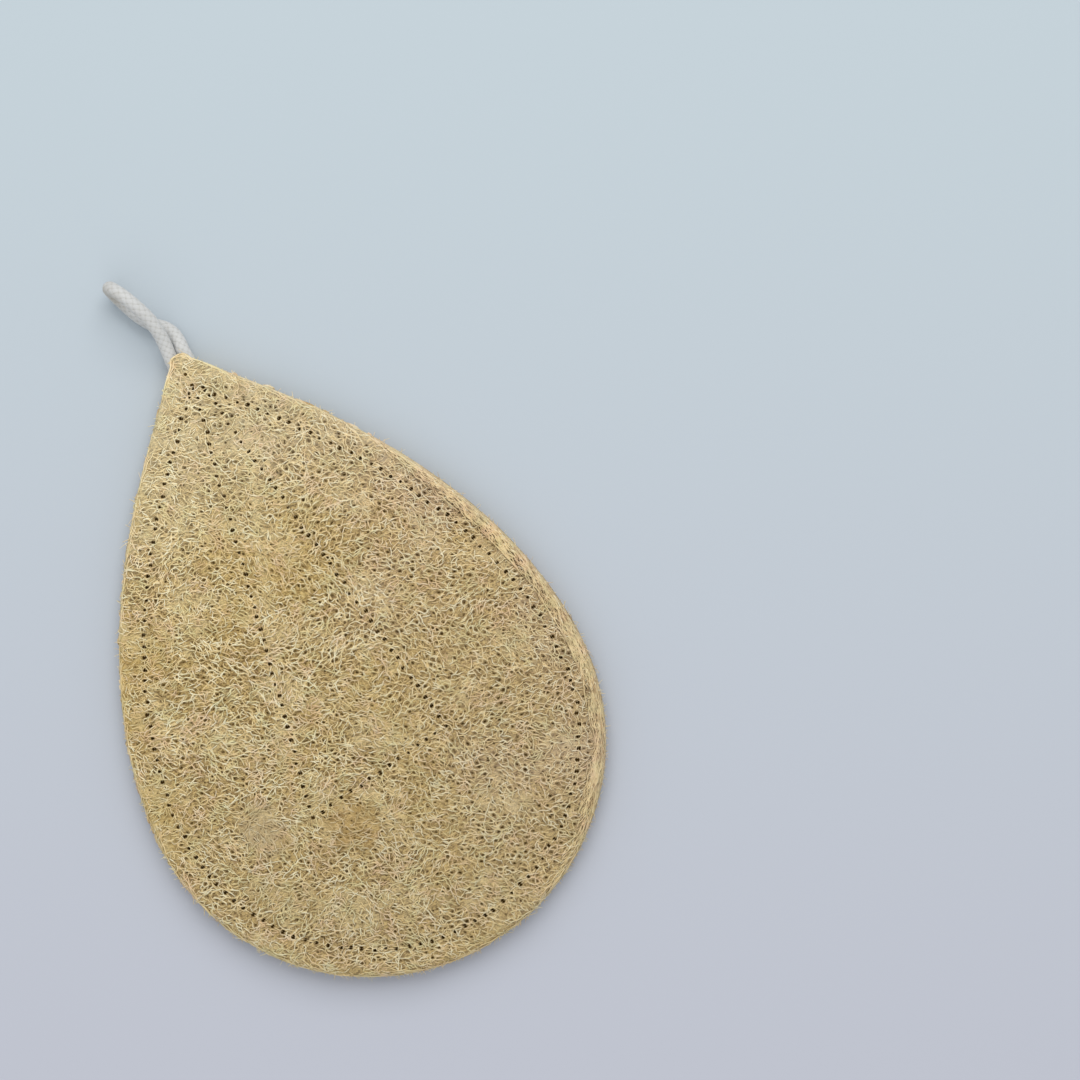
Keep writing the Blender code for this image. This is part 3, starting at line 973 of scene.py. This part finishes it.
def trace(draw, starts, count, step, run, scatter, curl, strays):
    """Lines that follow the flow through their starts and bend a little. Strays is the share of them
    that runs any way. Near the rim, and most of all on the right lip, they turn with it."""
    number = len(starts)
    offset = draw.normal(0, scatter, number)
    stray = draw.uniform(0, 1, number) < strays
    offset = np.where(stray, draw.uniform(0, math.pi, number), offset)
    bend = draw.normal(0, curl, number) * np.where(draw.uniform(0, 1, number) < 0.15, 3.0, 1.0)
    lines = np.empty((number, count, 2))
    middle = count // 2
    for side in (1, -1):
        here = starts.copy()
        for k in range(middle, count) if side > 0 else range(middle, -1, -1):
            lines[:, k] = here
            turn = flow(here, *run) + offset + bend * (k - middle) * step
            ahead = np.stack([np.cos(turn), np.sin(turn)], axis=1)
            beside = turned_left(slope_at(here))
            beside *= np.where((ahead * beside).sum(1) < 0, -1, 1)[:, None]
            inward = read(INWARD, here)
            lip = right_lip(here)
            near = smooth(1 - inward / LIP_WIDTH) * lip
            near += (0.1 + 0.5 * lip) * smooth(1 - inward / RIM_WIDTH)
            near = np.minimum(near, 1)[:, None]
            ahead = ahead * (1 - near) + beside * near
            here = here + ahead / np.hypot(*ahead.T)[:, None] * step * side
    return lines


def phases(draw, number):
    """A random start for the wave of each fibre."""
    return draw.uniform(0, 2 * math.pi, (number, 1))


def towards_ends(count, power):
    """0 at the middle of a fibre's points, rising late to 1 at both of its ends."""
    return np.abs(2 * np.arange(count) / (count - 1) - 1) ** power


def crinkled(draw, lines, by, over, step):
    """Lines with a sideways wave of their own, by about this much over this wavelength."""
    number, count, _ = lines.shape
    ahead = np.gradient(lines, axis=1)
    ahead /= np.maximum(np.linalg.norm(ahead, axis=-1, keepdims=True), 1e-9)
    across = turned_left(ahead)
    size = draw.uniform(0.4, 1.6, (number, 1)) * by
    pace = 2 * math.pi * step / (over * draw.uniform(0.8, 1.3, (number, 1)))
    wave = size * np.sin(pace * np.arange(count)[None] + phases(draw, number))
    return lines + across * wave[..., None]


def unkinked(lines):
    """Lines with their kinks rounded off."""
    smoothed = lines.copy()
    smoothed[:, 1:-1] = (lines[:, :-2] + 2 * lines[:, 1:-1] + lines[:, 2:]) / 4
    return smoothed


def reach_past(lines, centres, near_chart):
    """From the nearest centre to each stretch of a line: the way there, how far, and which centre."""
    starts, spans = lines[:, :-1], np.diff(lines, axis=1)
    index = nearest(near_chart, starts + spans / 2)
    share = ((centres[index] - starts) * spans).sum(-1) / np.maximum((spans**2).sum(-1), 1e-9)
    closest = starts + np.clip(share, 0, 1)[..., None] * spans - centres[index]
    return closest, np.linalg.norm(closest, axis=-1), index


def bent_round(lines, centres, near_chart, clears, rounds=3):
    """Lines pushed aside until they leave the centres clear."""
    lines = lines.copy()
    for _ in range(rounds):
        closest, away, index = reach_past(lines, centres, near_chart)
        push = closest * (np.clip(clears[index] - away, 0, None) / np.maximum(away, 1e-3))[..., None]
        lines[:, :-1] += push * 0.8
        lines[:, 1:] += push * 0.8
    return lines


def clear_of_holes(lines):
    """Lines bent round the needle holes. Those that still run well into one are taken out."""
    lines = bent_round(lines, HOLES, NEAR_HOLE, HOLE_SIZES + 0.1)
    _, away, index = reach_past(lines, HOLES, NEAR_HOLE)
    return lines[(away > HOLE_SIZES[index] * 0.7).all(axis=1)]


def clear_of_pits(lines, centres, near_chart, radii, width):
    """Lines bent round the pits between the fibres. Those that still run well into one are taken
    out."""
    lines = bent_round(lines, centres, near_chart, radii + width)
    _, away, index = reach_past(lines, centres, near_chart)
    return lines[(away > radii[index] * 0.75).all(axis=1)]


# How far the loosest fibres of a face may stand out past the rim
STAND_OUT = 0.55


def laid(draw, lines, facing, depths, weave, wavelength, step, dive, most=None):
    """Heights for lines in the face: each at its own depth, weaving up and down, its ends dived in.
    What runs past the edge goes down over the rim instead."""
    number, count, _ = lines.shape
    k = np.arange(count)
    wave = np.sin(2 * math.pi * (k * step / wavelength)[None] + phases(draw, number))
    ends = towards_ends(count, 4) * dive
    stands_out = STAND_OUT * draw.uniform(0, 1, (number, 1)) ** 2 * (1 - right_lip(lines))
    past = np.clip(RIM_MARGIN - stands_out - read(INWARD, lines), 0, None)
    lines = lines + slope_at(lines) * past[..., None]
    level = rise(lines) - depths[:, None] + weave * wave - ends[None] - past
    level = np.maximum(level, np.maximum(THINNEST, cord_room(lines) + 0.3))
    if most is not None:
        level = np.minimum(level, most)
    return np.concatenate([lines, height_of(level, facing)[..., None]], axis=2)


def tapered(draw, number, count, thin, thick):
    """Radii for fibres, each drawn between thin and thick and smaller towards its ends."""
    widths = draw.uniform(thin, thick, number)
    shape = 1 - 0.55 * towards_ends(count, 4)
    return widths[:, None] * shape[None]


def scattered(draw, number, margin):
    """Random places all over the pad, this far inside its edge."""
    places = draw.uniform((-HALF, -PAD_LENGTH / 2), (HALF, PAD_LENGTH / 2), (number * 2, 2))
    return places[read(INWARD, places) > margin][:number]


def gaps(seed, spacing, small, large):
    """Centres of the gaps between fibres, the chart that finds them, and their radii, which are
    small where the fibres are matted."""
    centres = lattice(spacing, seed, 2.0, 0.42)
    draw = np.random.default_rng(seed + 1)
    centres = centres[nearest_away(HOLES, centres) > HOLE_LARGE + 1.3 * large]
    shares = draw.uniform(0, 1, len(centres)) ** 1.4
    radii = (small + (large - small) * shares) * (1 - 0.4 * felt(centres))
    radii *= 1 + 0.22 * smooth((centres[:, 0] + 15.0) / 30.0)
    return centres, nearest_chart(centres), radii


def toned(draw, middle, spread):
    """A whole tone for each fibre, strayed from its middle tone, which runs from 0 dark to 1 pale."""
    return (np.clip(draw.normal(middle, spread), 0.0, 0.999) * TONES).astype(int)


# How each layer's fibres run: seed, heading and swirl of the flow, then how far a fibre strays from
# it, how much it curls, and the share that runs any way
FINE_RUN = (40, math.radians(-32.0), 1.0)
FINE_STRAY = (0.55, 0.24, 0.28)
COARSE_RUN = (60, math.radians(-25.0), 1.5)
COARSE_STRAY = (0.5, 0.10, 0.15)

# Each fibre's own sideways wave on the front: by how much, and over what length
CRINKLE = (0.13, 2.2)

# How the fibres weave up and down: by how much, and over what length
FINE_WEAVE = (0.17, 2.5)
COARSE_WEAVE = (0.28, 6.0)

# Tones in a mat: how much paler the topmost fibres are than the lowest, which is painted shade on the
# lower ones, and how far one strays
FINE_SHADE_AND_TONES = (0.16, 0.17)
COARSE_SHADE_AND_TONES = (0.2, 0.14)


def mat(name, draw, placed, depths, depth, width, tone, tones, sides, facing):
    """The fibres of one mat as a mesh, with painted shade making those that lie lower darker than those
    that lie higher.
    """
    number, count, _ = placed.shape
    share = 1 - (depths - depth[0]) / (depth[1] - depth[0])
    widths = tapered(draw, number, count, *width)
    # The lift is painted shade: fibres that lie lower get darker tones
    lift, spread = tones
    return fibres(name, placed, widths, toned(draw, tone + lift * (share - 0.5), spread), sides, facing)


def fine_fibres(name, seed, number, count, step, depth, width, tone):
    """A mat of crinkled fibres on the front."""
    draw = np.random.default_rng(seed)
    lines = trace(draw, scattered(draw, number, 0.1), count, step, FINE_RUN, *FINE_STRAY)
    lines = crinkled(draw, lines, *CRINKLE, step)
    lines = clear_of_holes(clear_of_pits(lines, *FINE_GAPS, 0.16))
    depths = draw.uniform(*depth, len(lines))
    placed = laid(draw, lines, 1, depths, *FINE_WEAVE, step, 0.24)
    return mat(name, draw, placed, depths, depth, width, tone, FINE_SHADE_AND_TONES, 3, 1)


def coarse_fibres(name, seed, number, count, step, depth, width, tone, sides):
    """A mat of long thick fibres on the back, none of which reaches below the table."""
    draw = np.random.default_rng(seed)
    lines = trace(draw, scattered(draw, number, 0.4), count, step, COARSE_RUN, *COARSE_STRAY)
    lines = clear_of_holes(unkinked(clear_of_pits(lines, *COARSE_GAPS, 0.30)))
    depths = draw.uniform(*depth, len(lines))
    placed = laid(draw, lines, -1, depths, *COARSE_WEAVE, step, 0.6, most=LAYER_MIDDLE - 0.45)
    return mat(name, draw, placed, depths, depth, width, tone, COARSE_SHADE_AND_TONES, sides, -1)


# How closely the rim's fibres lie: everywhere, and what the right lip and the tip add
RIM_CROWD = 0.35
LIP_CROWD = 2.15
TIP_CROWD = 2.2
TIP_START = 60.0


def rim_fibres(name, seed, facing, number, width, count=9, step=0.95):
    """Fibres that run along the rolled rim, from its shoulder down to the seam between the layers,
    where some of them lie over the gap. On the right lip they reach further in, and round the tip
    they lie at all heights of its wall."""
    draw = np.random.default_rng(seed)
    loop = np.concatenate([EDGE, EDGE[:1]])
    steps = steps_of(loop)
    along = summed(steps)
    weight = RIM_CROWD + LIP_CROWD * right_lip(loop) + TIP_CROWD * smooth((loop[:, 1] - TIP_START) / 10.0)
    shares = summed(weight[:-1] * steps)
    start = np.interp(draw.uniform(0, shares[-1], number), shares, along)
    k = np.arange(count)[None]
    line = walked(loop, along, (start[:, None] + k * step) % along[-1])
    reach = 0.30 + 0.97 * right_lip(line[:, :1])
    low = draw.uniform(0, 1, (number, 1)) < 0.3
    lean = np.where(low, 0.0, draw.uniform(0.0, 1.0, (number, 1)) * reach)
    lean = lean + draw.normal(0, 0.05, (number, 1)) * k
    lean = lean + 0.07 * np.sin(k * 1.7 + draw.uniform(0, 6.28, (number, 1)))
    lean = np.clip(lean, 0.0, 1.35)
    angle = np.minimum(lean, 1.0) * math.pi / 2
    inset = ROLL * (1 - np.cos(angle)) + np.maximum(lean - 1.0, 0) * 4.0
    lowered = draw.uniform(0, 1, (number, 1)) * smooth((line[..., 1] - TIP_START) / 5.0)
    inset = inset * (1 - lowered)
    frayed = 0.10 + 0.30 * smooth((-10.0 - line[..., 1]) / 40.0)
    line = line + slope_at(line) * (inset + 0.14 - frayed * draw.uniform(0, 1, (number, 1)))[..., None]
    wall = wall_height(line)
    level = wall + (LAYER_RIM - wall) * np.sin(angle) - 0.05 + draw.uniform(-0.10, 0.08, (number, 1))
    level = level + (1.1 * cord_room(line) - level) * 0.92 * lowered
    over_gap = np.maximum(draw.uniform(-0.18, 0.5, (number, 1)), cord_room(line))
    over_gap = over_gap + 0.09 * np.sin(k * 1.3 + draw.uniform(0, 6.28, (number, 1)))
    level = np.where(low, np.minimum(over_gap + lean * 1.5, level), level)
    ends = towards_ends(count, 5) * 0.3 * np.sin(angle)
    level = np.maximum(level - ends, np.maximum(-0.2, 1.1 * cord_room(line)))
    placed = np.concatenate([line, height_of(level, facing)[..., None]], axis=2)
    widths = tapered(draw, number, count, *width)
    tone = 0.52 - 0.22 * right_lip(line[:, 0])
    return fibres(name, placed, widths, toned(draw, tone, 0.10), 3, facing)


FUZZ_REACH = (1.0, 2.2)
FUZZ_RADIUS = (0.08, 0.14)


def edge_fuzz(name, seed, number, count=5):
    """Short cut ends that stand out from the rim, most of them round the base."""
    draw = np.random.default_rng(seed)
    picks = draw.integers(0, len(EDGE), number * 2)
    low = smooth((15.0 - EDGE[picks, 1]) / 70.0)
    picks = picks[draw.uniform(0, 1, len(picks)) < 0.25 + 0.75 * low][:number]
    number = len(picks)
    start = EDGE[picks]
    slope = slope_at(start)
    beside = turned_left(slope)
    lean = draw.normal(0, 1.4, number)[:, None]
    ahead = -slope * 0.8 + beside * lean
    ahead /= np.hypot(*ahead.T)[:, None]
    reach = draw.uniform(*FUZZ_REACH, number)
    curve = draw.normal(0, 0.7, number)
    share = np.linspace(0, 1, count)
    flat = start + slope * 0.7
    lines = (
        flat[:, None]
        + ahead[:, None] * (reach[:, None] * share)[..., None]
        + beside[:, None] * (curve[:, None] * share**2)[..., None]
    )
    up = draw.uniform(-2.3, 2.3, number)[:, None] + draw.normal(0, 0.5, number)[:, None] * share
    placed = np.concatenate([lines, (MID_HEIGHT + up)[..., None]], axis=2)
    widths = draw.uniform(*FUZZ_RADIUS, number)[:, None] * (1 - 0.6 * share)[None]
    return fibres(name, placed, widths, toned(draw, np.full(number, 0.65), 0.2), 3)


# One stitch: shares of the way to the next hole, and how deep in the face the thread lies there
STITCH = ((0.0, 1.7), (0.1, 1.2), (0.22, 0.4), (0.36, 0.2), (0.64, 0.2), (0.78, 0.4), (0.9, 1.2))


def stitches(name, row, facing):
    """Sewing thread along one row on one face: each stitch lies over the fibres from hole to hole."""
    after = np.roll(row, -1, axis=0)
    places = []
    for here, there in zip(row, after):
        for share, low in STITCH:
            at = here + (there - here) * share
            places.append((*at, height_of(float(rise(at)) - low, facing)))
    curve, spline = tube(name, places, THREAD_RADIUS, 0)
    spline.use_cyclic_u = True
    return mesh_of_curve(curve)


def floor():
    """The table that the pad lies on, from lilac grey to a paler blue up the picture, its paling painted
    light.
    """
    bm = bmesh.new()
    bmesh.ops.create_grid(bm, x_segments=1, y_segments=1, size=1.5)
    mesh = bpy.data.meshes.new("table_top")
    bm.to_mesh(mesh)
    bm.free()
    piece = bpy.data.objects.new("table_top", mesh)
    bpy.context.scene.collection.objects.link(piece)
    made, tree, shader = new_material("pale_table", 0.6, 0.2)
    up = new_node(tree, "ShaderNodeVectorMath", operation="DOT_PRODUCT")
    tree.links.new(object_places(tree), up.inputs[0])
    up.inputs[1].default_value = (0.454, 0.891, 0.0)
    # Painted light: the table gets paler up the picture
    share = ranged(tree, up.outputs["Value"], -0.12, 0.15)
    colour = tinted(tree, share, (0.475, 0.485, 0.545), (0.475, 0.538, 0.577))
    tree.links.new(colour, shader.inputs["Base Color"])
    mesh.materials.append(made)


def area_light(name, place, size, power, colour):
    data = bpy.data.lights.new(name, "AREA")
    data.shape = "SQUARE"
    data.size = size
    data.energy = power
    data.color = colour
    light = bpy.data.objects.new(name, data)
    bpy.context.scene.collection.objects.link(light)
    light.location = place
    light.rotation_euler = (-Vector(place)).to_track_quat("-Z", "Y").to_euler()


def lights():
    area_light("window", (0.4, 0.65, 1.1), 1.2, 11.0, (1.0, 0.99, 0.97))
    area_light("fill", (-0.5, -0.6, 1.2), 1.6, 5.0, (0.96, 0.98, 1.0))
    world = bpy.data.worlds.new("soft_room")
    world.use_nodes = True
    sky = world.node_tree.nodes["Background"]
    sky.inputs["Color"].default_value = (0.93, 0.97, 1.0, 1.0)
    sky.inputs["Strength"].default_value = 0.62
    bpy.context.scene.world = world
    bpy.context.scene.view_settings.view_transform = "Standard"


place_camera()
hanging_loop()

# Gaps between the fibres: seed, spacing, and the smallest and largest radius
FINE_GAPS = gaps(71, 1.65, 0.12, 0.38)
COARSE_GAPS = gaps(81, 3.2, 0.35, 0.8)

fine = fine_material()
coarse = coarse_material()
thread = thread_material()
fine_bed = bed_material("fine_packed_bed", *FINE_BED)
coarse_bed = bed_material("coarse_packed_bed", *COARSE_BED)

# Pits in the beds: centres, radii, depth, and the way that the long side of each runs
fine_pits = (FINE_GAPS[0], FINE_GAPS[2], 0.95, lambda places: flow(places, *FINE_RUN))
coarse_pits = (COARSE_GAPS[0], COARSE_GAPS[2], 1.0, lambda places: flow(places, *COARSE_RUN))
front_mesh = layer_body("front_bed", 1, drop=0.46, lift=0.06, grain=0.10, pits=fine_pits, seed=101)
front = add_piece("front_bed", front_mesh, fine_bed)
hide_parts("front_layer")
back_mesh = layer_body("back_bed", -1, drop=1.1, lift=0.3, grain=0.15, pits=coarse_pits, seed=201)
back = add_piece("back_bed", back_mesh, coarse_bed)
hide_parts("back_layer")

# Mats of fibres: name, seed, number, points, step, depth, radius and tone, and on the back the sides. The
# deeper mats' darker tones are painted shade.
FINE_MATS = (
    ("front_under_mat", 300, 6400, 5, 0.8, (0.28, 0.46), (0.15, 0.21), 0.38),
    ("front_top_mat", 302, 7400, 5, 0.62, (0.04, 0.28), (0.13, 0.18), 0.63),
    ("front_fine_mat", 304, 3200, 5, 0.52, (0.0, 0.20), (0.11, 0.15), 0.78),
    ("front_long_fibres", 303, 260, 14, 0.7, (0.04, 0.14), (0.12, 0.16), 0.76),
)
for name, *shape in FINE_MATS:
    add_piece(name, fine_fibres(name, *shape), fine)
# The under mat's darker tone is painted shade.
COARSE_MATS = (
    ("back_under_mat", 400, 1700, 8, 1.5, (0.6, 1.15), (0.34, 0.44), 0.38, 3),
    ("back_top_mat", 401, 2000, 9, 1.3, (0.0, 0.6), (0.30, 0.42), 0.60, 4),
)
for name, *shape in COARSE_MATS:
    add_piece(name, coarse_fibres(name, *shape), coarse)
front_rim = rim_fibres("front_rim_fibres", 500, 1, 1250, (0.15, 0.21))
add_piece("front_rim_fibres", front_rim, fine)
back_rim = rim_fibres("back_rim_fibres", 510, -1, 900, (0.20, 0.30))
add_piece("back_rim_fibres", back_rim, coarse)
add_piece("edge_fuzz", edge_fuzz("edge_fuzz", 520, 1300), fine)

for row_name, row in zip(("rim", "inner"), ROWS):
    for side_name, facing in (("front", 1), ("back", -1)):
        name = f"{row_name}_stitches_{side_name}"
        piece = add_piece(name, stitches(name, row, facing), thread)
        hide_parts(f"{row_name}_thread_{side_name}")

floor()
lights()
